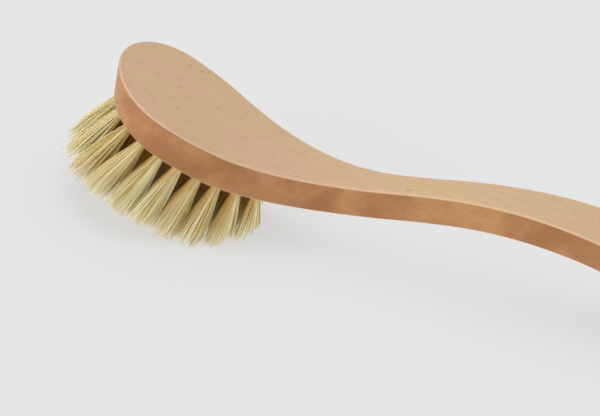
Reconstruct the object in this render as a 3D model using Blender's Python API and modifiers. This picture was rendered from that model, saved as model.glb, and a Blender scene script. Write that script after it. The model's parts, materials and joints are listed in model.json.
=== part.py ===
"""Body dry brush.

One beech body (head and long handle in one board), tufts of plant fibre standing in
drilled blind holes, and the flat metal anchor that holds each folded tuft in its hole.

The board frame, in millimetres: X from the tip of the head to the end of the handle,
Y across, Z up, zero at the top edge of the tip. The whole brush is then moved, without
turning, so that it rests on the plane z = 0 with its box centred on the origin.
"""

import math

import bmesh
import bpy
import numpy as np
from mathutils import Matrix, Vector

MM = 0.001

# Plan outline: a half circle at the tip, a smooth side, a half circle at the handle's end.
HEAD_RADIUS = 32.5
END_RADIUS = 17.0
TIP_SEGMENTS = 24
END_SEGMENTS = 14
# (x, half width) that the side passes through, level at both ends.
SIDE = (
    (32.5, HEAD_RADIUS),
    (55.0, 30.3),
    (80.0, 23.2),
    (105.0, 15.9),
    (130.0, 10.7),
    (160.0, 8.5),
    (200.0, 10.3),
    (240.0, 13.9),
    (280.0, 17.4),
    (330.0, 19.0),
    (383.0, END_RADIUS),
)
HANDLE_END_X = SIDE[-1][0] + END_RADIUS

# Side profile: the centre line as (length, slope in degrees at its end), bending evenly
# from one slope to the next. The first slope is the flat head's.
HEAD_SLOPE = -22.0
PROFILE = (
    (61.5, HEAD_SLOPE),
    (100.0, 12.8),
    (29.0, 12.8),
    (133.0, -21.1),
    (130.0, -21.1),
)
HEAD_THICKNESS = 19.8
HANDLE_THICKNESS = 16.5
TAPER_FROM_X = 60.0
TAPER_TO_X = 260.0
EDGE_ROUND = 1.6
EDGE_STEPS = 2
BEND_STATIONS = 35
OVERRUN = 15.0

# Tufts: where they stand, and how they fan out.
OUTER_INSET = 7.0
OUTER_PITCH = 10.4
OUTER_PAIRS = 9
MIDDLE_INSET = 17.3
MIDDLE_PITCH = 10.5
MIDDLE_PAIRS = 6
HEEL_PAIR = (81.0, 5.0)
CENTRE_FIRST_X = 28.5
CENTRE_PITCH = 11.0
CENTRE_COUNT = 4
# (x, degrees that a tuft there leans toward the tip of the head)
FAN_LENGTHWISE = ((7.0, 9.0), (25.0, 8.5), (50.0, 0.0), (90.0, -13.2))
# A tuft this far from the middle line leans out by this many degrees, and one nearer the
# line by less, as the square of its distance.
FAN_EDGE = 25.0
FAN_ACROSS = 15.0

HOLE_RADIUS = 2.6
HOLE_DEPTH = 12.0
DRILL_POINT = 1.5
DRILL_SIDES = 12
DRILL_CLEAR = 8.0
GAP = 0.3
TUFT_SIDES = 10
ROOT_RADIUS = HOLE_RADIUS - GAP
# Free length of the tufts whose holes are at x: cut to a crown that is low at the heel.
TUFT_LENGTHS = (
    (7.0, 44.0),
    (20.0, 40.5),
    (30.0, 39.3),
    (60.0, 40.5),
    (66.0, 39.2),
    (75.0, 35.0),
    (85.0, 24.5),
)
FLARE_FROM = 2.0
FLARE = 0.088
FLARE_MIDDLE = 16.0
TIP_ROUND = 1.0
ANCHOR_SIZE = (6.6, 0.5, 2.0)
ANCHOR_DEPTH = 9.1
ANCHOR_TURN = 45.0
TUNNEL_LENGTH = 9.0
ANCHOR_COUNT = 1 + 2 * OUTER_PAIRS + 2

BEECH = ("beech", (0.58, 0.37, 0.20), 0.5, 0.0)
FIBRE = ("plant_fibre", (0.70, 0.62, 0.38), 0.8, 0.0)
ANCHOR_METAL = ("anchor_steel", (0.62, 0.62, 0.60), 0.35, 1.0)


def clear_scene():
    for obj in list(bpy.data.objects):
        bpy.data.objects.remove(obj, do_unlink=True)


def new_collection(name, hidden):
    made = bpy.data.collections.new(name)
    bpy.context.scene.collection.children.link(made)
    made.hide_render = hidden
    return made


def new_material(name, colour, roughness, metallic):
    made = bpy.data.materials.new(name)
    made.use_nodes = True
    made.diffuse_color = (*colour, 1.0)
    shader = made.node_tree.nodes["Principled BSDF"]
    shader.inputs["Base Color"].default_value = (*colour, 1.0)
    shader.inputs["Roughness"].default_value = roughness
    shader.inputs["Metallic"].default_value = metallic
    return made


def side_slopes():
    """Slope of the side at each of its points: a cubic spline that is level at both ends."""
    x, y = np.array(SIDE).T
    step = np.diff(x)
    count = len(x)
    left = np.eye(count)
    right = np.zeros(count)
    for i in range(1, count - 1):
        before, after = 1 / step[i - 1], 1 / step[i]
        left[i, i - 1 : i + 2] = before, 2 * (before + after), after
        rise = (y[i] - y[i - 1]) * before**2 + (y[i + 1] - y[i]) * after**2
        right[i] = 3 * rise
    return np.linalg.solve(left, right)


SLOPES = side_slopes()


def half_width(x):
    """Half of the board's width at x, anywhere along its length."""
    if x < SIDE[0][0]:
        return math.sqrt(max(HEAD_RADIUS**2 - (HEAD_RADIUS - x) ** 2, 0.0))
    if x > SIDE[-1][0]:
        return math.sqrt(max(END_RADIUS**2 - (x - SIDE[-1][0]) ** 2, 0.0))
    i = max(k for k in range(len(SIDE) - 1) if SIDE[k][0] <= x)
    step = SIDE[i + 1][0] - SIDE[i][0]
    t = (x - SIDE[i][0]) / step
    y = (2 * t**3 - 3 * t**2 + 1) * SIDE[i][1]
    y += (3 * t**2 - 2 * t**3) * SIDE[i + 1][1]
    y += (t**3 - 2 * t**2 + t) * step * SLOPES[i]
    y += (t**3 - t**2) * step * SLOPES[i + 1]
    return y


def centre_line():
    """Arrays of x, z and slope along the middle of the board, every half millimetre."""
    lengths = np.cumsum([0.0] + [length for length, _ in PROFILE])
    slopes = [HEAD_SLOPE] + [slope for _, slope in PROFILE]
    along = np.linspace(0.0, lengths[-1], int(2 * lengths[-1]))
    slope = np.radians(np.interp(along, lengths, slopes))
    middle = (slope[1:] + slope[:-1]) / 2
    step = np.diff(along)
    x = np.concatenate([[0.0], np.cumsum(np.cos(middle) * step)])
    z = np.concatenate([[0.0], np.cumsum(np.sin(middle) * step)])
    return x, z - HEAD_THICKNESS / math.cos(math.radians(HEAD_SLOPE)) / 2, slope


CENTRE = centre_line()


def board_at(x):
    """(z of the top, z of the bottom, slope in radians) of the board at x."""
    middle = float(np.interp(x, CENTRE[0], CENTRE[1]))
    slope = float(np.interp(x, CENTRE[0], CENTRE[2]))
    middle += min(x, 0.0) * math.tan(slope)
    middle += max(x - CENTRE[0][-1], 0.0) * math.tan(slope)
    taper = (TAPER_FROM_X, TAPER_TO_X), (HEAD_THICKNESS, HANDLE_THICKNESS)
    half = float(np.interp(x, *taper)) / math.cos(slope) / 2
    return middle + half, middle - half, slope


def bend_stations():
    """X of the stations from where the flat head ends to where the rounded end starts."""
    flat_end = PROFILE[0][0] * math.cos(math.radians(HEAD_SLOPE))
    return list(np.linspace(flat_end, SIDE[-1][0], BEND_STATIONS))


def plan_outline():
    """The board's outline seen from above, anticlockwise from the tip."""
    side = []
    for k in range(1, TIP_SEGMENTS // 2 + 1):
        angle = math.pi * k / TIP_SEGMENTS
        x = HEAD_RADIUS * (1 - math.cos(angle))
        side.append((x, HEAD_RADIUS * math.sin(angle)))
    first = bend_stations()[0]
    for x in (HEAD_RADIUS + (first - HEAD_RADIUS) * k / 3 for k in (1, 2)):
        side.append((x, half_width(x)))
    side.extend((x, half_width(x)) for x in bend_stations())
    for k in range(1, END_SEGMENTS // 2):
        angle = math.pi * k / END_SEGMENTS
        x = SIDE[-1][0] + END_RADIUS * math.sin(angle)
        side.append((x, END_RADIUS * math.cos(angle)))
    near = [(x, -y) for x, y in side]
    far = list(reversed(side))
    return [(0.0, 0.0)] + near + [(HANDLE_END_X, 0.0)] + far


def profile_outline():
    """The board's outline seen from the side, running past both of its ends."""
    stations = [-OVERRUN] + bend_stations() + [HANDLE_END_X + OVERRUN]
    top = [(x, board_at(x)[0]) for x in stations]
    bottom = [(x, board_at(x)[1]) for x in reversed(stations)]
    return top + bottom


def prism(name, corners, direction):
    """Solid of a flat outline pushed along a direction, as a new mesh."""
    made = bmesh.new()
    face = made.faces.new([made.verts.new(Vector(corner) * MM) for corner in corners])
    grown = bmesh.ops.extrude_face_region(made, geom=[face])
    moved = [item for item in grown["geom"] if isinstance(item, bmesh.types.BMVert)]
    bmesh.ops.translate(made, verts=moved, vec=Vector(direction) * MM)
    bmesh.ops.recalc_face_normals(made, faces=made.faces)
    mesh = bpy.data.meshes.new(name)
    made.to_mesh(mesh)
    made.free()
    return mesh


def add_object(name, mesh, collection, root, material=None):
    made = bpy.data.objects.new(name, mesh)
    collection.objects.link(made)
    made.parent = root
    if material and not mesh.materials:
        mesh.materials.append(material)
    return made


def add_cutter(name, mesh, collection, root):
    made = add_object(name, mesh, collection, root)
    made.hide_render = True
    made.display_type = "WIRE"
    return made


def cut(target, cutter, operation="DIFFERENCE"):
    modifier = target.modifiers.new(cutter.name, "BOOLEAN")
    modifier.object = cutter
    modifier.operation = operation
    modifier.solver = "EXACT"


def smooth(mesh, degrees):
    mesh.shade_smooth()
    mesh.set_sharp_from_angle(angle=math.radians(degrees))


def walk(inset, corner_radius, length):
    """The point this far from the tip along a ring that keeps inside the outline."""
    quarter = corner_radius * math.pi / 2
    if length <= quarter:
        angle = length / corner_radius
        x = HEAD_RADIUS - corner_radius * math.cos(angle)
        return x, corner_radius * math.sin(angle)
    x = HEAD_RADIUS
    left = length - quarter
    stride = 0.1
    while left > 0:
        left -= math.hypot(stride, half_width(x + stride) - half_width(x))
        x += stride
    return x, half_width(x) - inset


def ring(inset, pitch, pairs):
    """One tuft at the tip's side of the ring, then pairs of them down both sides."""
    found = [(inset, 0.0)]
    for k in range(1, pairs + 1):
        x, y = walk(inset, HEAD_RADIUS - inset, pitch * k)
        found.extend([(x, y), (x, -y)])
    return found


def tuft_places():
    """(x, y) of every tuft: the outer ring and its heel pair, the middle ring, the centre."""
    heel_x, heel_y = HEEL_PAIR
    outer = ring(OUTER_INSET, OUTER_PITCH, OUTER_PAIRS)
    outer += [(heel_x, heel_y), (heel_x, -heel_y)]
    middle = ring(MIDDLE_INSET, MIDDLE_PITCH, MIDDLE_PAIRS)
    centre = [(CENTRE_FIRST_X + CENTRE_PITCH * k, 0.0) for k in range(CENTRE_COUNT)]
    return outer + middle + centre


def tuft_frame(x, y):
    """Matrix with its origin where the tuft leaves the wood and +Z along the fibres."""
    _, bottom, slope = board_at(x)
    lengthwise = Vector((math.cos(slope), 0.0, math.sin(slope)))
    outward = Vector((math.sin(slope), 0.0, -math.cos(slope)))
    lean = math.tan(math.radians(float(np.interp(x, *zip(*FAN_LENGTHWISE)))))
    spread = math.tan(math.radians(FAN_ACROSS * y * abs(y) / FAN_EDGE**2))
    along = (outward - lean * lengthwise + spread * Vector((0.0, 1.0, 0.0))).normalized()
    across = (lengthwise - along * along.dot(lengthwise)).normalized()
    turn = Matrix((across, along.cross(across), along)).transposed().to_4x4()
    return Matrix.Translation(Vector((x, y, bottom)) * MM) @ turn


def anchor_frame(place):
    """Matrix of the anchor inside the hole of the tuft at this matrix."""
    drop = Matrix.Translation((0.0, 0.0, -ANCHOR_DEPTH * MM))
    return place @ drop @ Matrix.Rotation(math.radians(ANCHOR_TURN), 4, "Z")


def add_box(made, size, matrix):
    scale = Matrix.Diagonal((*(side * MM for side in size), 1.0))
    bmesh.ops.create_cube(made, size=1.0, matrix=matrix @ scale)


def mesh_of(name, made):
    mesh = bpy.data.meshes.new(name)
    made.to_mesh(mesh)
    made.free()
    return mesh


def drill_mesh(places):
    """Every drilled hole as one cutter: round, with the pointed bottom a drill leaves."""
    made = bmesh.new()
    length = HOLE_DEPTH + DRILL_CLEAR
    middle = Matrix.Translation((0.0, 0.0, (DRILL_CLEAR - length / 2) * MM))
    for place in places:
        cone = bmesh.ops.create_cone(
            made,
            cap_ends=True,
            segments=DRILL_SIDES,
            radius1=HOLE_RADIUS * MM,
            radius2=HOLE_RADIUS * MM,
            depth=length * MM,
            matrix=place @ middle,
        )
        inward = -place.to_3x3().col[2]
        faces = {face for vert in cone["verts"] for face in vert.link_faces}
        floor = max(faces, key=lambda face: face.normal.dot(inward))
        bmesh.ops.poke(made, faces=[floor], offset=DRILL_POINT * MM)
    return mesh_of("drills", made)


def pocket_mesh(places):
    """The two slits of every anchor in the wood, as one cutter."""
    made = bmesh.new()
    size = [side + 2 * GAP for side in ANCHOR_SIZE]
    for place in places:
        add_box(made, size, anchor_frame(place))
    return mesh_of("anchor_pockets", made)


def tunnel_mesh():
    """The way the anchor takes through its folded tuft, as a cutter."""
    made = bmesh.new()
    _, thick, high = ANCHOR_SIZE
    size = TUNNEL_LENGTH, thick + 2 * GAP, high + 2 * GAP
    add_box(made, size, anchor_frame(Matrix.Identity(4)))
    return mesh_of("anchor_tunnel", made)


def tuft_profile(length):
    """(radius, height) down a tuft's outer side, from its cut tips to the hole's bottom."""
    heights = (length - TIP_ROUND, FLARE_MIDDLE, FLARE_FROM, GAP - HOLE_DEPTH)
    flared = [(flare_radius(height), height) for height in heights]
    return [(flared[0][0] - TIP_ROUND, length)] + flared


def flare_radius(height):
    """Radius of the fibres' bundle this far out of the wood."""
    return ROOT_RADIUS + FLARE * max(height - FLARE_FROM, 0.0)


def tuft_mesh(length, tunnel, collection):
    """The tuft, turned from its profile and pierced for its anchor, as a mesh."""
    made = bmesh.new()
    corners = tuft_profile(length)
    corners = [(0.0, corners[0][1])] + corners + [(0.0, corners[-1][1])]
    verts = [made.verts.new((r * MM, 0.0, z * MM)) for r, z in corners]
    for a, b in zip(verts, verts[1:]):
        made.edges.new((a, b))
    pattern = bpy.data.objects.new("tuft_pattern", mesh_of("tuft_pattern", made))
    collection.objects.link(pattern)
    screw = pattern.modifiers.new("turn", "SCREW")
    screw.steps = TUFT_SIDES
    screw.render_steps = TUFT_SIDES
    screw.use_merge_vertices = True
    screw.merge_threshold = 0.00001
    cut(pattern, tunnel)
    graph = bpy.context.evaluated_depsgraph_get()
    mesh = bpy.data.meshes.new_from_object(pattern.evaluated_get(graph))
    bpy.data.objects.remove(pattern, do_unlink=True)
    mesh.name = "tuft"
    smooth(mesh, 40)
    return mesh


def build_body(places, parts, cutters, root):
    plan = [(x, y, -OVERRUN * 10) for x, y in plan_outline()]
    mesh = prism("wooden_body", plan, (0.0, 0.0, OVERRUN * 12))
    body = add_object("wooden_body", mesh, parts, root, new_material(*BEECH))
    reach = 2 * HEAD_RADIUS
    side = [(x, -reach, z) for x, z in profile_outline()]
    profile = prism("side_profile", side, (0.0, 2 * reach, 0.0))
    cut(body, add_cutter("side_profile", profile, cutters, root), "INTERSECT")
    bevel = body.modifiers.new("eased_edges", "BEVEL")
    bevel.width = EDGE_ROUND * MM
    bevel.segments = EDGE_STEPS
    bevel.limit_method = "ANGLE"
    bevel.angle_limit = math.radians(50)
    cut(body, add_cutter("drills", drill_mesh(places), cutters, root))
    cut(body, add_cutter("anchor_pockets", pocket_mesh(places), cutters, root))
    smooth(mesh, 40)


def build_tufts(places, parts, cutters, root):
    fibre = new_material(*FIBRE)
    tunnel = add_cutter("anchor_tunnel", tunnel_mesh(), cutters, None)
    for number, place in enumerate(places, 1):
        length = float(np.interp(place.translation.x / MM, *zip(*TUFT_LENGTHS)))
        mesh = tuft_mesh(length, tunnel, cutters)
        tuft = add_object(f"tuft_{number:02d}", mesh, parts, root, fibre)
        tuft.matrix_local = place


def build_anchors(places, parts, root):
    metal = new_material(*ANCHOR_METAL)
    for number, place in enumerate(places[:ANCHOR_COUNT], 1):
        made = bmesh.new()
        add_box(made, ANCHOR_SIZE, Matrix.Identity(4))
        name = f"anchor_{number:02d}"
        anchor = add_object(name, mesh_of(name, made), parts, root, metal)
        anchor.matrix_local = anchor_frame(place)


def rest_on_ground(parts, root):
    """Moves the brush so that its box stands centred on the plane z = 0."""
    bpy.context.view_layer.update()
    graph = bpy.context.evaluated_depsgraph_get()
    corners = []
    for obj in parts.objects:
        seen = obj.evaluated_get(graph)
        corners += [seen.matrix_world @ vert.co for vert in seen.to_mesh().vertices]
        seen.to_mesh_clear()
    low = [min(corner[i] for corner in corners) for i in range(3)]
    high = [max(corner[i] for corner in corners) for i in range(3)]
    root.location = -(low[0] + high[0]) / 2, -(low[1] + high[1]) / 2, -low[2]


def main():
    clear_scene()
    parts = new_collection("body_dry_brush", False)
    cutters = new_collection("cutters", True)
    root = bpy.data.objects.new("board_frame", None)
    bpy.context.scene.collection.objects.link(root)
    places = [tuft_frame(x, y) for x, y in tuft_places()]
    build_body(places, parts, cutters, root)
    build_tufts(places, parts, cutters, root)
    build_anchors(places, parts, root)
    rest_on_ground(parts, root)


main()
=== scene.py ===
"""Looks of the body dry brush: the beech body, the plant-fibre tufts, their metal anchors."""

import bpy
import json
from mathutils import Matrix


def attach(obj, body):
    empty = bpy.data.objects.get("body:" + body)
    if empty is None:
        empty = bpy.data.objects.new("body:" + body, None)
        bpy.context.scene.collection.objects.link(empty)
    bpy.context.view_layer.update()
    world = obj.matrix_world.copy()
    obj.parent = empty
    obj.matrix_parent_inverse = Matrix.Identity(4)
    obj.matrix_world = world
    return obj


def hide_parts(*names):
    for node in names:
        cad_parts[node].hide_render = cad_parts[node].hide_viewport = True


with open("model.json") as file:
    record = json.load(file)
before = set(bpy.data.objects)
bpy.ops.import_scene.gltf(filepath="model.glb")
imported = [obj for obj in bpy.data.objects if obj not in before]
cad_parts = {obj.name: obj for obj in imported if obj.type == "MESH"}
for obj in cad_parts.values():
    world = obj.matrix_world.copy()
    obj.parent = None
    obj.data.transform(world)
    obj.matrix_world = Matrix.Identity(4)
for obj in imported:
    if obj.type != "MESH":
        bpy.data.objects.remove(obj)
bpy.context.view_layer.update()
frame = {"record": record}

import json
import math

import bmesh
import bpy
import numpy as np
from mathutils import Matrix, Vector

MM = 0.001
SEED = 41

# The board, as part.py makes it: millimetres from the tip of the head.
HEAD_RADIUS = 32.5
END_RADIUS = 17.0
SIDE = (
    (32.5, HEAD_RADIUS),
    (55.0, 30.3),
    (80.0, 23.2),
    (105.0, 15.9),
    (130.0, 10.7),
    (160.0, 8.5),
    (200.0, 10.3),
    (240.0, 13.9),
    (280.0, 17.4),
    (330.0, 19.0),
    (383.0, END_RADIUS),
)
END_X = SIDE[-1][0] + END_RADIUS
HEAD_SLOPE = -22.0
PROFILE = (
    (61.5, HEAD_SLOPE),
    (100.0, 12.8),
    (29.0, 12.8),
    (133.0, -21.1),
    (130.0, -21.1),
)
HEAD_THICKNESS = 19.8
HANDLE_THICKNESS = 16.5
TAPER = (60.0, 260.0)
EDGE_ROUND = 1.6
MOUNT_X = 40.0

# How finely the board is drawn.
TIP_STEPS = 60
FLAT_STEPS = 12
BEND_STATIONS = 131
END_STEPS = 30
EDGE_STEPS = 5
EDGE_ANGLE = 50.0
SMOOTH_ANGLE = 38.0
NORMAL_WEIGHT = 80
OVERRUN = 15.0

# The tufts, as part.py places them.
OUTER_INSET, OUTER_PITCH, OUTER_PAIRS = 7.0, 10.4, 9
MIDDLE_INSET, MIDDLE_PITCH, MIDDLE_PAIRS = 17.3, 10.5, 6
HEEL_PAIR = (81.0, 5.0)
CENTRE_FIRST_X, CENTRE_PITCH, CENTRE_COUNT = 28.5, 11.0, 4
FAN_LENGTHWISE = ((7.0, 9.0), (25.0, 8.5), (50.0, 0.0), (90.0, -13.2))
FAN_EDGE, FAN_ACROSS = 25.0, 15.0
# Where the tips are cut: (x of the hole, free length), carried on past the last hole.
TRIM = ((7.0, 44.0), (20.0, 40.5), (30.0, 39.3), (60.0, 40.5), (66.0, 39.2), (75.0, 35.0),
        (85.0, 24.5), (93.0, 16.5))
HOLE_RADIUS, HOLE_DEPTH, DRILL_POINT = 2.6, 12.0, 1.5
ANCHOR_SIZE = (6.6, 0.5, 2.0)
ANCHOR_DEPTH = 9.1
ANCHOR_TURN = 45.0
CAD_ANCHORS = 21
WALK_STEP = 0.1
DRILL_CLEAR = 8.0
DRILL_SIDES = 32

# Fibres. STRANDS is the number tried: those too near the anchor are left out.
STRANDS = 115
SPOT_JITTER = 0.035
ANCHOR_CLEAR = 0.06
FIBRE_RADIUS = 0.2
FIBRE_RADIUS_SPREAD = (0.8, 1.25)
TIP_THINNING = 0.35
FLOOR_GAP = 0.12
FIELD_MIDDLE = 45.0
RIM_TUFTS = 1 + 2 * OUTER_PAIRS + 2
BUNDLE_RADIUS = 2.1
# (drop, share of the spot's distance from the anchor) of a strand as it passes under the anchor
FOLD = ((0.45, 0.62), (0.62, 0.0), (0.45, -0.62))
FOLD_CLEAR = 0.15
# Where a strand's points lie outside the hole, as shares of its free length.
LEG_HEIGHTS = (1.0, 0.82, 0.62, 0.42, 0.24, 0.10)
# (distance out of the wood, radius of the bundle there)
FLARE = ((-12.0, 2.1), (0.0, 2.1), (2.0, 2.25), (5.0, 2.6), (12.0, 4.0), (20.0, 5.6),
         (30.0, 6.9), (44.0, 7.7))
CLUMPS = 16
CLUMP_REACH = 0.95
CLUMPING = 0.22
CLUMP_TURN = 0.8 * math.pi
# Share of a strand's tone taken from its clump, and share of strands drawn dark: partly the fibres'
# own colour, partly painted shade between clumps.
CLUMP_TINT = 0.35
DARK_SHARE = 0.16
# How far the tips stray sideways, and the share of strands that stray further.
WANDER, CURL = 0.6, 0.4
STRAY_SHARE, STRAY_FACTOR = 0.12, 2.8
# How unevenly the tips are cut: a spread, and the shares left long and broken short.
TRIM_AHEAD = 0.9
TRIM_SPREAD = 0.028
LONG_SHARE, LONG_BY = 0.10, (0.5, 2.2)
SHORT_SHARE, SHORT_BY = 0.12, (0.5, 4.5)
# A direction that no strand runs along.
ASIDE = (0.31, 0.91, 0.27)
TUBE_SIDES = 4

# Anchor strips: the bow, the pinched ends and the worn edges.
STRIP_CUTS = 7
STRIP_BOW = 0.12
STRIP_PINCH = 0.45
STRIP_PINCH_FROM = 0.7
STRIP_EDGE = 0.08


# ---------------------------------------------------------------- the board's form

def side_slopes():
    """Slope of the side at each of its points: a cubic spline that is level at both ends."""
    x, y = np.array(SIDE).T
    step = np.diff(x)
    left, right = np.eye(len(x)), np.zeros(len(x))
    for i in range(1, len(x) - 1):
        before, after = 1 / step[i - 1], 1 / step[i]
        left[i, i - 1 : i + 2] = before, 2 * (before + after), after
        right[i] = 3 * ((y[i] - y[i - 1]) * before**2 + (y[i + 1] - y[i]) * after**2)
    return np.linalg.solve(left, right)


SLOPES = side_slopes()


def half_width(x):
    """Half of the board's width at x."""
    if x < SIDE[0][0]:
        return math.sqrt(max(HEAD_RADIUS**2 - (HEAD_RADIUS - x) ** 2, 0.0))
    if x > SIDE[-1][0]:
        return math.sqrt(max(END_RADIUS**2 - (x - SIDE[-1][0]) ** 2, 0.0))
    i = max(k for k in range(len(SIDE) - 1) if SIDE[k][0] <= x)
    step = SIDE[i + 1][0] - SIDE[i][0]
    t = (x - SIDE[i][0]) / step
    y = (2 * t**3 - 3 * t**2 + 1) * SIDE[i][1] + (3 * t**2 - 2 * t**3) * SIDE[i + 1][1]
    return y + (t**3 - 2 * t**2 + t) * step * SLOPES[i] + (t**3 - t**2) * step * SLOPES[i + 1]


def centre_line():
    """Arrays of x, z and slope along the middle of the board."""
    lengths = np.cumsum([0.0] + [length for length, _ in PROFILE])
    slopes = [HEAD_SLOPE] + [slope for _, slope in PROFILE]
    along = np.linspace(0.0, lengths[-1], int(2 * lengths[-1]))
    slope = np.radians(np.interp(along, lengths, slopes))
    middle = (slope[1:] + slope[:-1]) / 2
    step = np.diff(along)
    x = np.concatenate([[0.0], np.cumsum(np.cos(middle) * step)])
    z = np.concatenate([[0.0], np.cumsum(np.sin(middle) * step)])
    return x, z - HEAD_THICKNESS / math.cos(math.radians(HEAD_SLOPE)) / 2, slope


CENTRE = centre_line()


def board_at(x):
    """(z of the top, z of the bottom, slope) of the board at x."""
    slope = float(np.interp(x, CENTRE[0], CENTRE[2]))
    middle = float(np.interp(x, CENTRE[0], CENTRE[1])) + min(x, 0.0) * math.tan(slope)
    half = float(np.interp(x, TAPER, (HEAD_THICKNESS, HANDLE_THICKNESS))) / math.cos(slope) / 2
    return middle + half, middle - half, slope


mount = next(m for m in frame["record"]["mounts"] if m["name"] == "head_back")
ORIGIN = Vector(mount["pos_m"]) - Vector((MOUNT_X, 0.0, board_at(MOUNT_X)[0])) * MM
BOARD = Matrix.Translation(ORIGIN)


def stations():
    """X of the places where the bent part of the board is drawn."""
    flat_end = PROFILE[0][0] * math.cos(math.radians(HEAD_SLOPE))
    return list(np.linspace(flat_end, SIDE[-1][0], BEND_STATIONS))


def plan_outline():
    """The board from above, anticlockwise from the tip."""
    side = []
    for k in range(1, TIP_STEPS + 1):
        angle = math.pi * k / (2 * TIP_STEPS)
        side.append((HEAD_RADIUS * (1 - math.cos(angle)), HEAD_RADIUS * math.sin(angle)))
    first = stations()[0]
    for k in range(1, FLAT_STEPS):
        x = HEAD_RADIUS + (first - HEAD_RADIUS) * k / FLAT_STEPS
        side.append((x, half_width(x)))
    side.extend((x, half_width(x)) for x in stations())
    for k in range(1, END_STEPS):
        angle = math.pi * k / (2 * END_STEPS)
        side.append((SIDE[-1][0] + END_RADIUS * math.sin(angle), END_RADIUS * math.cos(angle)))
    near = [(x, -y) for x, y in side]
    return [(0.0, 0.0)] + near + [(END_X, 0.0)] + list(reversed(side))


def profile_outline():
    """The board from the side, with both ends run on past the plan outline."""
    xs = [-OVERRUN] + stations() + [END_X + OVERRUN]
    return [(x, board_at(x)[0]) for x in xs] + [(x, board_at(x)[1]) for x in reversed(xs)]


def tuft_places():
    """(x, y) of every tuft: the outer ring and heel pair, the middle ring, the centre row."""
    def walk(inset, length):
        corner = HEAD_RADIUS - inset
        quarter = corner * math.pi / 2
        if length <= quarter:
            angle = length / corner
            return HEAD_RADIUS - corner * math.cos(angle), corner * math.sin(angle)
        x, left = HEAD_RADIUS, length - quarter
        while left > 0:
            left -= math.hypot(WALK_STEP, half_width(x + WALK_STEP) - half_width(x))
            x += WALK_STEP
        return x, half_width(x) - inset

    def ring(inset, pitch, pairs):
        found = [(inset, 0.0)]
        for k in range(1, pairs + 1):
            x, y = walk(inset, pitch * k)
            found.extend([(x, y), (x, -y)])
        return found

    heel_x, heel_y = HEEL_PAIR
    outer = ring(OUTER_INSET, OUTER_PITCH, OUTER_PAIRS) + [(heel_x, heel_y), (heel_x, -heel_y)]
    centre = [(CENTRE_FIRST_X + CENTRE_PITCH * k, 0.0) for k in range(CENTRE_COUNT)]
    return outer + ring(MIDDLE_INSET, MIDDLE_PITCH, MIDDLE_PAIRS) + centre


def tuft_frame(x, y):
    """Matrix with its origin where the tuft leaves the wood and +Z along the fibres."""
    _, bottom, slope = board_at(x)
    lengthwise = Vector((math.cos(slope), 0.0, math.sin(slope)))
    outward = Vector((math.sin(slope), 0.0, -math.cos(slope)))
    lean = math.tan(math.radians(float(np.interp(x, *zip(*FAN_LENGTHWISE)))))
    spread = math.tan(math.radians(FAN_ACROSS * y * abs(y) / FAN_EDGE**2))
    along = (outward - lean * lengthwise + spread * Vector((0.0, 1.0, 0.0))).normalized()
    across = (lengthwise - along * along.dot(lengthwise)).normalized()
    turn = Matrix((across, along.cross(across), along)).transposed().to_4x4()
    return BOARD @ Matrix.Translation(Vector((x, y, bottom)) * MM) @ turn


PLACES = [tuft_frame(x, y) for x, y in tuft_places()]


# ---------------------------------------------------------------- materials

class Nodes:
    """A material's node tree, written as nested calls."""

    def __init__(self, name):
        self.material = bpy.data.materials.new(name)
        self.material.use_nodes = True
        self.tree = self.material.node_tree
        self.shader = self.tree.nodes["Principled BSDF"]

    def add(self, kind, settings=(), **inputs):
        node = self.tree.nodes.new(kind)
        for name, value in dict(settings).items():
            setattr(node, name, value)
        for name, value in inputs.items():
            self.put(node, name, value)
        return node

    def put(self, node, name, value):
        if name.startswith("i_"):
            socket = node.inputs[int(name[2:])]
        else:
            socket = node.inputs[name.replace("_", " ")]
        if isinstance(value, bpy.types.NodeSocket):
            self.tree.links.new(value, socket)
        else:
            socket.default_value = value

    def coords(self, scale, turn=(0.0, 0.0, 0.0), shift=(0.0, 0.0, 0.0)):
        where = self.add("ShaderNodeTexCoord").outputs["Object"]
        return self.add(
            "ShaderNodeMapping", Vector=where, Scale=scale, Rotation=turn, Location=shift
        ).outputs["Vector"]

    def noise(self, vector, detail=2.0, rough=0.5, distort=0.0):
        return self.add(
            "ShaderNodeTexNoise", Vector=vector, Scale=1.0, Detail=detail,
            Roughness=rough, Distortion=distort,
        ).outputs["Fac"]

    def math(self, operation, a, b=0.0, c=0.0):
        return self.add(
            "ShaderNodeMath", {"operation": operation}, i_0=a, i_1=b, i_2=c
        ).outputs[0]

    def range(self, value, low, high, to_low=0.0, to_high=1.0):
        return self.add(
            "ShaderNodeMapRange", {"interpolation_type": "SMOOTHSTEP"},
            Value=value, From_Min=low, From_Max=high, To_Min=to_low, To_Max=to_high,
        ).outputs["Result"]

    def mix(self, factor, a, b, blend="MIX"):
        node = self.add("ShaderNodeMix", {"data_type": "RGBA", "blend_type": blend})
        for socket, value in ((0, factor), (6, a), (7, b)):
            self.put(node, f"i_{socket}", value)
        return node.outputs[2]

    def bump(self, height, strength, distance, under=None):
        node = self.add(
            "ShaderNodeBump", Height=height, Strength=strength, Distance=distance
        )
        if under:
            self.put(node, "Normal", under)
        return node.outputs["Normal"]

    def finish(self, **inputs):
        for name, value in inputs.items():
            self.put(self.shader, name, value)
        return self.material


def rgb(r, g, b):
    return (r, g, b, 1.0)


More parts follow.
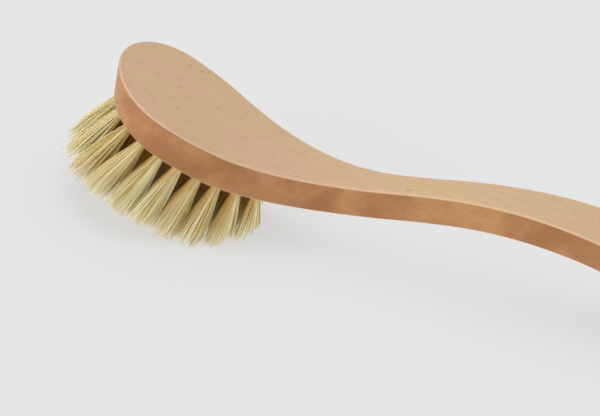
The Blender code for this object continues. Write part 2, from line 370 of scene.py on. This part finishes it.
def beech():
    n = Nodes("beech_wood")
    # Broad drifts of colour along the board, between yellow and pink.
    drift = n.noise(n.coords((9.0, 26.0, 26.0)), detail=3.0)
    base = n.mix(n.range(drift, 0.35, 0.68), rgb(0.662, 0.465, 0.27), rgb(0.692, 0.443, 0.288))
    # Growth rings: gently bent sheets, cut by the curved faces.
    warp = n.noise(n.coords((7.0, 20.0, 20.0)), detail=2.0)
    where = n.add("ShaderNodeSeparateXYZ", i_0=n.coords((1.0, 1.0, 1.0)))
    sheet = n.math("MULTIPLY_ADD", where.outputs["Y"], 0.42, where.outputs["Z"])
    sheet = n.math("MULTIPLY_ADD", where.outputs["X"], 0.045, sheet)
    sheet = n.math("MULTIPLY_ADD", warp, 0.016, sheet)
    ring = n.math("FRACT", n.math("MULTIPLY", sheet, 330.0))
    late = n.math("POWER", ring, 4.0)
    base = n.mix(n.math("MULTIPLY", late, 0.14), base, rgb(0.50, 0.29, 0.16))
    # Fine fibres along the board.
    fine = n.noise(n.coords((60.0, 1300.0, 1300.0)), detail=3.0, rough=0.6)
    base = n.mix(n.range(fine, 0.42, 0.78, 0.0, 0.22), base, rgb(0.45, 0.26, 0.145))
    # The short dark flecks of beech, small ones all over and larger ones here and there.
    small = n.noise(n.coords((420.0, 2300.0, 2300.0)), detail=1.0)
    base = n.mix(n.range(small, 0.64, 0.72, 0.0, 0.38), base, rgb(0.34, 0.175, 0.085))
    large = n.noise(n.coords((150.0, 800.0, 800.0)), detail=1.0)
    patch = n.range(n.noise(n.coords((22.0, 40.0, 40.0))), 0.45, 0.62)
    strength = n.math("MULTIPLY", n.range(large, 0.67, 0.75, 0.0, 0.42), patch)
    base = n.mix(strength, base, rgb(0.33, 0.17, 0.085))
    smudge = n.noise(n.coords((55.0, 120.0, 120.0)), detail=4.0, rough=0.65)
    base = n.mix(n.range(smudge, 0.5, 0.72, 0.0, 0.22), base, rgb(0.56, 0.35, 0.185))
    # The sawn and sanded sides of the board are drawn browner and darker than its top: partly their
    # own browner tone, partly painted shade on the faces that the light reaches less. Their lighter
    # and darker patches are partly wood figure, partly painted light and shade.
    normal = n.add("ShaderNodeNewGeometry").outputs["Normal"]
    up = n.add("ShaderNodeSeparateXYZ", i_0=normal).outputs["Z"]
    tilt = n.math("ABSOLUTE", up)
    flat = n.range(tilt, 0.25, 0.62)
    slanted = n.coords((24.0, 30.0, 26.0), (0.0, 0.8, 0.3), (0.51, 0.16, -0.55))
    figure_and_light_patches = n.noise(slanted, detail=5.0, rough=0.55, distort=0.5)
    edge = n.mix(n.range(figure_and_light_patches, 0.38, 0.62), rgb(0.60, 0.375, 0.235), rgb(0.84, 0.62, 0.42))
    mottle = n.noise(n.coords((90.0, 170.0, 170.0)), detail=3.0, rough=0.6)
    edge = n.mix(n.range(mottle, 0.4, 0.75, 0.0, 0.35), edge, rgb(0.62, 0.36, 0.20))
    base = n.mix(flat, n.mix(1.0, base, edge, "MULTIPLY"), base)
    # The eased corners are drawn lighter: partly the paler wood that sanding leaves there, partly a
    # painted highlight along the crease.
    corner = n.math("MULTIPLY", n.range(tilt, 0.3, 0.55), n.range(tilt, 0.88, 0.72))
    base = n.mix(n.math("MULTIPLY", corner, 0.45), base, rgb(0.78, 0.545, 0.355))
    rough = n.range(n.noise(n.coords((80.0, 300.0, 300.0))), 0.3, 0.7, 0.44, 0.56)
    pores = n.bump(n.math("SUBTRACT", 0.0, small), 0.10, 0.0002)
    grain = n.bump(fine, 0.12, 0.00025, pores)
    return n.finish(
        Base_Color=base, Roughness=rough, Normal=grain, Specular_IOR_Level=0.35
    )


def plant_fibre():
    n = Nodes("plant_fibre")
    tint = n.add("ShaderNodeAttribute", {"attribute_name": "tint"}).outputs["Fac"]
    out = n.add("ShaderNodeAttribute", {"attribute_name": "out"}).outputs["Fac"]
    # The fibres' colour by their tint: the darker clumps and strands are partly the fibres' own
    # varied colour, partly painted shade between clumps.
    base = n.mix(n.range(tint, 0.1, 0.75), rgb(0.75, 0.545, 0.17), rgb(1.0, 0.93, 0.585))
    base = n.mix(n.range(tint, -0.25, 0.05, 0.85, 0.0), base, rgb(0.42, 0.24, 0.05))
    mottle = n.noise(n.coords((160.0, 160.0, 160.0)), detail=2.0)
    base = n.mix(n.range(mottle, 0.4, 0.7, 0.0, 0.4), base, rgb(0.90, 0.81, 0.36))
    # Painted shade: browner toward the root and deep inside the brush, where the fibres stand in
    # shade. Paler toward the tips.
    inside = n.add("ShaderNodeAttribute", {"attribute_name": "inside"}).outputs["Fac"]
    base = n.mix(n.range(out, 0.0, 0.35, 0.25, 0.0), base, rgb(0.72, 0.46, 0.14))
    deep = n.math("MULTIPLY", n.range(out, 0.2, 0.85, 0.95, 0.0), inside)
    base = n.mix(deep, base, rgb(0.62, 0.32, 0.04))
    base = n.mix(n.range(out, 0.6, 1.0, 0.0, 0.35), base, rgb(1.0, 0.94, 0.71))
    lines = n.noise(n.coords((2500.0, 2500.0, 600.0)), detail=1.0)
    return n.finish(
        Base_Color=base, Roughness=n.range(lines, 0.3, 0.7, 0.46, 0.62),
        Normal=n.bump(lines, 0.25, 0.00006), Specular_IOR_Level=0.35,
    )


def anchor_metal():
    n = Nodes("anchor_strip")
    drawn = n.noise(n.coords((900.0, 3500.0, 3500.0)), detail=2.0)
    dull = n.noise(n.coords((500.0, 500.0, 500.0)), detail=2.0)
    base = n.mix(n.range(dull, 0.4, 0.7), rgb(0.66, 0.66, 0.64), rgb(0.50, 0.49, 0.46))
    return n.finish(
        Base_Color=base, Metallic=1.0, Roughness=n.range(drawn, 0.3, 0.7, 0.28, 0.46),
        Normal=n.bump(drawn, 0.15, 0.00004),
    )


def floor_paint():
    n = Nodes("studio_floor")
    tone = n.noise(n.coords((6.0, 6.0, 6.0)), detail=2.0)
    base = n.mix(tone, rgb(0.245, 0.247, 0.25), rgb(0.25, 0.252, 0.255))
    return n.finish(
        Base_Color=base, Roughness=0.9, Specular_IOR_Level=0.1,
        Emission_Color=rgb(1.0, 1.0, 1.0), Emission_Strength=FLOOR_GLOW,
    )


# ---------------------------------------------------------------- pieces

def add_piece(name, mesh, material):
    piece = bpy.data.objects.new(name, mesh)
    bpy.context.scene.collection.objects.link(piece)
    mesh.materials.clear()
    mesh.materials.append(material)
    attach(piece, "root")
    return piece


def prism(name, corners, direction):
    made = bmesh.new()
    face = made.faces.new([made.verts.new(Vector(corner) * MM + ORIGIN) for corner in corners])
    grown = bmesh.ops.extrude_face_region(made, geom=[face])
    moved = [item for item in grown["geom"] if isinstance(item, bmesh.types.BMVert)]
    bmesh.ops.translate(made, verts=moved, vec=Vector(direction) * MM)
    bmesh.ops.recalc_face_normals(made, faces=made.faces)
    return mesh_of(name, made)


def mesh_of(name, made):
    mesh = bpy.data.meshes.new(name)
    made.to_mesh(mesh)
    made.free()
    return mesh


def drill_mesh():
    """Every drilled hole as one cutter: round, with a drill-point bottom."""
    made = bmesh.new()
    depth = HOLE_DEPTH + DRILL_CLEAR
    middle = Matrix.Translation((0.0, 0.0, (DRILL_CLEAR - depth / 2) * MM))
    for place in PLACES:
        cone = bmesh.ops.create_cone(
            made, cap_ends=True, segments=DRILL_SIDES, radius1=HOLE_RADIUS * MM,
            radius2=HOLE_RADIUS * MM, depth=depth * MM, matrix=place @ middle,
        )
        inward = -place.to_3x3().col[2]
        faces = {face for vert in cone["verts"] for face in vert.link_faces}
        floor = max(faces, key=lambda face: face.normal.dot(inward))
        bmesh.ops.poke(made, faces=[floor], offset=DRILL_POINT * MM)
    return mesh_of("drills", made)


def helper(name, mesh):
    made = bpy.data.objects.new(name, mesh)
    bpy.context.scene.collection.objects.link(made)
    return made


def cut(target, cutter, operation):
    modifier = target.modifiers.new(cutter.name, "BOOLEAN")
    modifier.object = cutter
    modifier.operation = operation
    modifier.solver = "EXACT"


def settle(piece, remove=()):
    """Applies every modifier and deletes the helpers that they used."""
    graph = bpy.context.evaluated_depsgraph_get()
    mesh = bpy.data.meshes.new_from_object(piece.evaluated_get(graph))
    piece.modifiers.clear()
    piece.data = mesh
    for other in remove:
        bpy.data.objects.remove(other, do_unlink=True)
    return mesh


def build_body():
    plan = [(x, y, -10 * OVERRUN) for x, y in plan_outline()]
    body = helper("beech_body", prism("beech_body", plan, (0.0, 0.0, 12 * OVERRUN)))
    reach = 2 * HEAD_RADIUS
    side = [(x, -reach, z) for x, z in profile_outline()]
    profile = helper("side_profile", prism("side_profile", side, (0.0, 2 * reach, 0.0)))
    cut(body, profile, "INTERSECT")
    bevel = body.modifiers.new("eased_edges", "BEVEL")
    bevel.width = EDGE_ROUND * MM
    bevel.segments = EDGE_STEPS
    bevel.limit_method = "ANGLE"
    bevel.angle_limit = math.radians(EDGE_ANGLE)
    drills = helper("drills", drill_mesh())
    cut(body, drills, "DIFFERENCE")
    mesh = settle(body, (profile, drills))
    mesh.shade_smooth()
    mesh.set_sharp_from_angle(angle=math.radians(SMOOTH_ANGLE))
    weighted = body.modifiers.new("flat_faces", "WEIGHTED_NORMAL")
    weighted.keep_sharp = True
    weighted.weight = NORMAL_WEIGHT
    mesh = settle(body)
    mesh.materials.clear()
    mesh.materials.append(beech())
    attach(body, "root")
    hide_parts("wooden_body")


def tube_mesh(name, paths, radii, **shades):
    """Thin four-sided tubes along paths (strands, points, 3), which are in millimetres."""
    strands, points, _ = paths.shape
    ahead = np.gradient(paths, axis=1)
    ahead /= np.linalg.norm(ahead, axis=2, keepdims=True)
    first = np.cross(ahead, np.array(ASIDE))
    first /= np.linalg.norm(first, axis=2, keepdims=True)
    second = np.cross(ahead, first)
    sides = []
    for k in range(TUBE_SIDES):
        angle = 2 * math.pi / TUBE_SIDES * k
        outward = math.cos(angle) * first + math.sin(angle) * second
        sides.append(paths + radii[..., None] * outward)
    verts = np.stack(sides, axis=2).reshape(-1, 3)
    ring = np.arange(strands)[:, None] * points + np.arange(points - 1)[None]
    start = ring * TUBE_SIDES
    after = start + TUBE_SIDES
    quads = []
    for k in range(TUBE_SIDES):
        j = (k + 1) % TUBE_SIDES
        quads.append(np.stack([start + k, start + j, after + j, after + k], axis=-1))
    quads = np.concatenate([q.reshape(-1, 4) for q in quads])
    low = np.arange(strands) * points * TUBE_SIDES
    high = low + (points - 1) * TUBE_SIDES
    caps = [low[:, None] + np.array([3, 2, 1, 0]), high[:, None] + np.array([0, 1, 2, 3])]
    faces = np.concatenate([quads] + caps)
    mesh = bpy.data.meshes.new(name)
    mesh.vertices.add(len(verts))
    mesh.vertices.foreach_set("co", (verts * MM).ravel())
    mesh.loops.add(faces.size)
    mesh.loops.foreach_set("vertex_index", faces.ravel())
    mesh.polygons.add(len(faces))
    mesh.polygons.foreach_set("loop_start", np.arange(len(faces)) * 4)
    mesh.update(calc_edges=True)
    mesh.polygons.foreach_set("use_smooth", np.ones(len(faces), bool))
    for label, values in shades.items():
        layer = mesh.attributes.new(label, "FLOAT", "POINT")
        shade = np.repeat(values.reshape(-1), TUBE_SIDES).astype(np.float32)
        layer.data.foreach_set("value", shade)
    mesh.validate()
    return mesh


def half_disc(random, count):
    """Points over one half of the bundle, evenly but not in rows, in units of its radius."""
    k = np.arange(count * 2) + 0.5
    radius = np.sqrt(k / (count * 2))
    angle = k * math.pi * (3 - math.sqrt(5)) + random.uniform(0, 2 * math.pi)
    spot = np.stack([radius * np.cos(angle), radius * np.sin(angle)], axis=1)
    spot += random.normal(0.0, SPOT_JITTER, spot.shape)
    return spot[spot[:, 1] > ANCHOR_CLEAR]


def leg(random, spot, heights, length, clumps, nearest):
    """Offsets from the tuft's axis of the fibres that leave the hole at these spots."""
    s = heights * length[:, None]
    spread = np.interp(s, *zip(*FLARE))
    t = s / length[:, None]
    pull = CLUMPING * np.sin(CLUMP_TURN * t)
    aim = spot[:, None] * (1 - pull[..., None]) + clumps[nearest][:, None] * pull[..., None]
    place = aim * spread[..., None]
    t = t[..., None]
    stray = np.where(random.random(len(spot)) < STRAY_SHARE, STRAY_FACTOR, 1.0)
    wander = random.normal(0.0, WANDER, (len(spot), 1, 2)) * stray[:, None, None]
    curl = random.normal(0.0, CURL, (len(spot), 1, 2))
    place = place + wander * t + curl * (t**2 - 0.5 * t)
    return np.concatenate([place, s[..., None]], axis=2)


def above_floor(paths, heights, place):
    """The fibres, each shortened along itself as far as its tip has to be to clear the floor."""
    to_world = np.array(place)
    z = (paths @ to_world[2, :3] * MM + to_world[2, 3]) / MM - FLOOR_GAP
    low, root = z.min(axis=1), z[:, -1]
    keep = np.where(low < 0, root / (root - low), 1.0)
    kept = np.empty_like(paths)
    for strand, share in enumerate(keep):
        for axis in range(3):
            kept[strand, :, axis] = np.interp(
                heights[::-1] * share, np.append(0.0, heights[::-1]),
                np.append(2 * paths[strand, -1, axis] - paths[strand, -2, axis],
                          paths[strand, ::-1, axis]),
            )[::-1]
    return np.where((keep < 1)[:, None, None], kept, paths)


def tuft_mesh(number, place):
    """One folded tuft in its own frame: +Z out of the hole, the fold under the anchor."""
    random = np.random.default_rng(SEED + number)
    spot = half_disc(random, STRANDS)
    count = len(spot)
    centres = random.uniform(-1, 1, (CLUMPS * 3, 2))
    clumps = centres[np.linalg.norm(centres, axis=1) < CLUMP_REACH][:CLUMPS]
    heights = np.array(LEG_HEIGHTS)
    turn = math.radians(ANCHOR_TURN)
    spin = np.array([[math.cos(turn), math.sin(turn)], [-math.sin(turn), math.cos(turn)]])
    hole_x = (place.translation - ORIGIN).x / MM
    legs, groups = [], []
    for sign in (1.0, -1.0):
        mirrored = spot * np.array([1.0, sign])
        nearest = np.argmin(np.linalg.norm(mirrored[:, None] - clumps[None], axis=2), axis=1)
        ahead = (mirrored @ spin)[:, 0] * FLARE[-1][1] * TRIM_AHEAD
        reach = np.interp(hole_x + ahead, *zip(*TRIM))
        reach *= 1 + random.normal(0.0, TRIM_SPREAD, count)
        reach += np.where(random.random(count) < LONG_SHARE, random.uniform(*LONG_BY, count), 0.0)
        reach -= np.where(random.random(count) < SHORT_SHARE, random.uniform(*SHORT_BY, count), 0.0)
        made = leg(random, mirrored, heights, reach, clumps, nearest)
        made[..., :2] = made[..., :2] @ spin
        legs.append(above_floor(made, heights, place))
        groups.append(nearest)
    deep = spot[:, 1] * BUNDLE_RADIUS
    low = -(ANCHOR_DEPTH + ANCHOR_SIZE[2] / 2)

    def ring(height, share):
        flat = np.stack([spot[:, 0] * BUNDLE_RADIUS, deep * share], axis=1) @ spin
        return np.column_stack([flat, np.full(count, height)])

    top = -(ANCHOR_DEPTH - ANCHOR_SIZE[2] / 2)
    middle = [ring(0.0, 1.0), ring(top, 1.0), ring(low, 1.0)]
    middle += [ring(low - FOLD_CLEAR - deep * drop, share) for drop, share in FOLD]
    middle += [ring(low, -1.0), ring(top, -1.0), ring(0.0, -1.0)]
    paths = np.concatenate([legs[0], np.stack(middle, axis=1), legs[1][:, ::-1]], axis=1)
    out = np.clip(paths[..., 2] / float(np.interp(hole_x, *zip(*TRIM))), 0, 1)
    radii = FIBRE_RADIUS * random.uniform(*FIBRE_RADIUS_SPREAD, (count, 1))
    radii = radii * (1 - TIP_THINNING * out**2)
    # Clump and strand tones: the darker clumps and strands are partly the fibres' own varied
    # colour, partly painted shade between clumps.
    shade = random.uniform(0.0, 1.0, CLUMPS)
    own = random.uniform(0.0, 1.0, (count, 1))
    own -= np.where(random.random((count, 1)) < DARK_SHARE, 1.0, 0.0)
    half = paths.shape[1] // 2
    group = np.concatenate([np.tile(groups[0][:, None], half),
                            np.tile(groups[1][:, None], paths.shape[1] - half)], axis=1)
    tint = CLUMP_TINT * shade[group] + (1 - CLUMP_TINT) * own
    # How far inside the brush a fibre stands, from 0 at its rim to 1; the material paints shade by
    # it.
    middle_of_head = place.inverted() @ (ORIGIN + Vector((FIELD_MIDDLE, 0.0, 0.0)) * MM)
    inward = np.array(Vector(middle_of_head[:2]).normalized())
    inside = np.ones_like(out)
    if number <= RIM_TUFTS:
        inside = np.clip(0.5 + paths[..., :2] @ inward / (2 * BUNDLE_RADIUS), 0, 1)
    return tube_mesh(
        f"tuft_{number:02d}_fibres", paths, radii, tint=tint, out=out, inside=inside
    )


def build_tufts():
    material = plant_fibre()
    for number, place in enumerate(PLACES, 1):
        mesh = tuft_mesh(number, place)
        mesh.transform(place)
        tuft = add_piece(f"fibres_{number:02d}", mesh, material)
        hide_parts(f"tuft_{number:02d}")


def anchor_mesh(name):
    """A short piece of flat drawn strip, a little bowed, with both cut ends pinched thin."""
    made = bmesh.new()
    bmesh.ops.create_cube(made, size=1.0)
    bmesh.ops.scale(made, vec=Vector(ANCHOR_SIZE) * MM, verts=made.verts)
    lengthwise = []
    for edge in made.edges:
        if abs((edge.verts[0].co - edge.verts[1].co).x) > 1e-5:
            lengthwise.append(edge)
    bmesh.ops.subdivide_edges(made, edges=lengthwise, cuts=STRIP_CUTS, use_grid_fill=True)
    half = ANCHOR_SIZE[0] * MM / 2
    for vert in made.verts:
        along = vert.co.x / half
        pinched = max(abs(along) - STRIP_PINCH_FROM, 0.0) / (1 - STRIP_PINCH_FROM)
        vert.co.y *= 1 - STRIP_PINCH * pinched
        vert.co.z -= STRIP_BOW * MM * (1 - along**2)
    limit = math.radians(EDGE_ANGLE)
    sharp = [edge for edge in made.edges if edge.calc_face_angle(0.0) > limit]
    bmesh.ops.bevel(
        made, geom=sharp, offset=STRIP_EDGE * MM, segments=2, affect="EDGES", profile=0.5
    )
    for face in made.faces:
        face.smooth = True
    return mesh_of(name, made)


def build_anchors():
    material = anchor_metal()
    turn = Matrix.Rotation(math.radians(ANCHOR_TURN), 4, "Z")
    drop = Matrix.Translation((0.0, 0.0, -ANCHOR_DEPTH * MM))
    for number, place in enumerate(PLACES, 1):
        mesh = anchor_mesh(f"strip_{number:02d}")
        mesh.transform(place @ drop @ turn)
        anchor = add_piece(f"strip_{number:02d}", mesh, material)
        if number <= CAD_ANCHORS:
            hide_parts(f"anchor_{number:02d}")


# ---------------------------------------------------------------- studio

# The camera in the board's frame: angles in degrees, lengths in millimetres.
CAMERA_AZIMUTH, CAMERA_ELEVATION, CAMERA_ROLL = 2.33, 38.76, 14.43
CAMERA_SIDE, CAMERA_RISE, CAMERA_AWAY = 90.73, -79.31, 763.0
LENS, SENSOR = 90.0, 36.0
CLIP = (0.01, 50.0)
FLOOR_REACH = 4.0
# (name, strength, angle across, direction that it comes from)
SUNS = (
    ("key", 1.2, 60.0, (0.12, 0.05, 1.0)),
    ("fill", 2.1, 60.0, (-0.72, -0.7, 0.05)),
)
WORLD_STRENGTH = 0.5
FLOOR_GLOW = 0.55


def build_camera():
    a, e, r = (math.radians(v) for v in (CAMERA_AZIMUTH, CAMERA_ELEVATION, CAMERA_ROLL))
    back = Vector((math.sin(a) * math.cos(e), -math.cos(a) * math.cos(e), math.sin(e)))
    level = Vector((math.cos(a), math.sin(a), 0.0))
    up = back.cross(level)
    right = math.cos(r) * level + math.sin(r) * up
    rise = math.cos(r) * up - math.sin(r) * level
    place = right * CAMERA_SIDE + rise * CAMERA_RISE + back * CAMERA_AWAY
    data = bpy.data.cameras.new("camera")
    data.lens = LENS
    data.sensor_width = SENSOR
    data.clip_start, data.clip_end = CLIP
    camera = bpy.data.objects.new("camera", data)
    bpy.context.scene.collection.objects.link(camera)
    matrix = Matrix((right, rise, back)).transposed().to_4x4()
    matrix.translation = ORIGIN + place * MM
    camera.matrix_world = matrix
    bpy.context.scene.camera = camera


def build_studio():
    made = bmesh.new()
    bmesh.ops.create_grid(made, x_segments=8, y_segments=8, size=FLOOR_REACH)
    floor = helper("studio_floor", mesh_of("studio_floor", made))
    floor.data.materials.append(floor_paint())
    for name, energy, angle, toward in SUNS:
        sun = bpy.data.lights.new(name, "SUN")
        sun.energy = energy
        sun.angle = math.radians(angle)
        light = bpy.data.objects.new(name, sun)
        light.rotation_euler = Vector(toward).to_track_quat("Z", "Y").to_euler()
        bpy.context.scene.collection.objects.link(light)
    world = bpy.data.worlds.new("studio")
    bpy.context.scene.world = world
    world.use_nodes = True
    sky = world.node_tree.nodes["Background"]
    sky.inputs["Color"].default_value = (1.0, 1.0, 1.0, 1.0)
    sky.inputs["Strength"].default_value = WORLD_STRENGTH
    bpy.context.scene.view_settings.view_transform = "Standard"


build_camera()
build_studio()
build_body()
build_tufts()
build_anchors()
